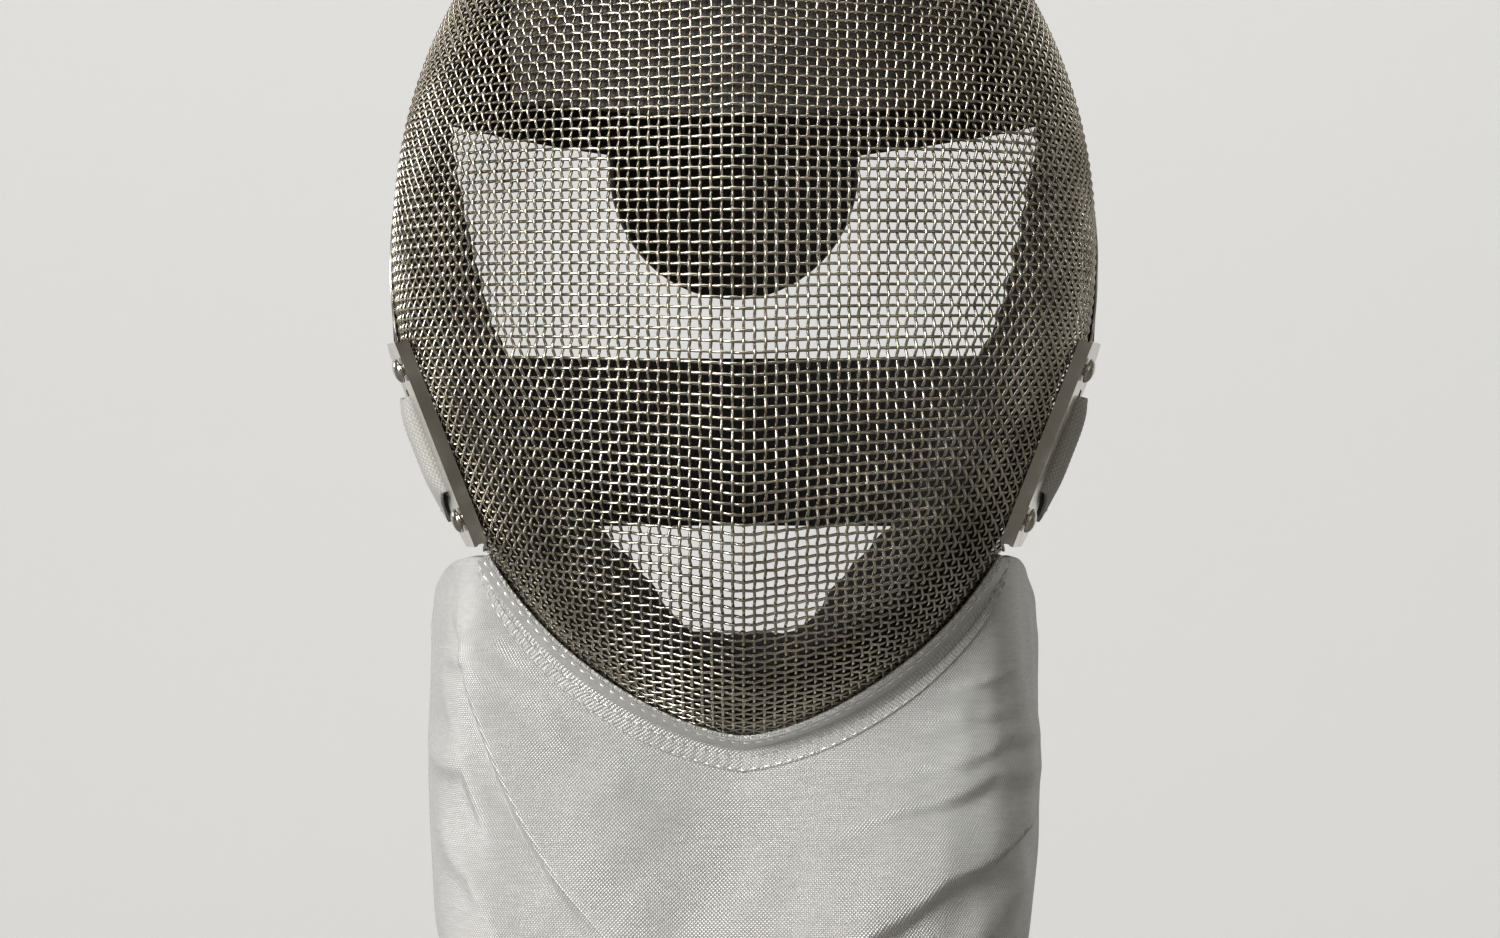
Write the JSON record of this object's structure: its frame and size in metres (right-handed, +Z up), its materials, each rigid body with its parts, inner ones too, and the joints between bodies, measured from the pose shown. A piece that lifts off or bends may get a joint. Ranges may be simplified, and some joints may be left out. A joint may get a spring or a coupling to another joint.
{
  "type": "fencing mask",
  "caption": "Fencing mask with a domed woven steel wire face, riveted side brackets, dark padded lining, rear tongue, elastic strap and silver-grey metallic cloth bib.",
  "frame": {"origin": "seat of the crown pad, where the top of the wearer's head rests, in the upright plane where the dome is widest", "axes": "+Z up; the wearer looks along -Y; +X to the wearer's left"},
  "size_m": [0.2224, 0.2252, 0.4085],
  "materials": {
    "steel_wire": "satin nickel-grey wire",
    "polished_steel": "polished steel",
    "black_cloth": "matt black cloth",
    "grey_felt": "matt felt",
    "black_elastic": "matt woven elastic",
    "grey_elastic": "ribbed elastic",
    "metallic_cloth": "woven metallic thread with a soft sheen"
  },
  "bodies": {
    "root": {"wire_mesh": "steel_wire", "rim_channel": "polished_steel", "edge_piping": "black_cloth", "forehead_pad": "grey_felt", "face_pad": "black_cloth", "tongue": "black_cloth", "back_strap": "black_elastic", "bib": "metallic_cloth", "bib_binding": "metallic_cloth", "bracket_left": "polished_steel", "bracket_right": "polished_steel", "strap_loop_left": "grey_elastic", "strap_loop_right": "grey_elastic", "rivet_left_upper": "polished_steel", "rivet_left_lower": "polished_steel", "rivet_right_upper": "polished_steel", "rivet_right_lower": "polished_steel"}
  },
  "joints": []
}
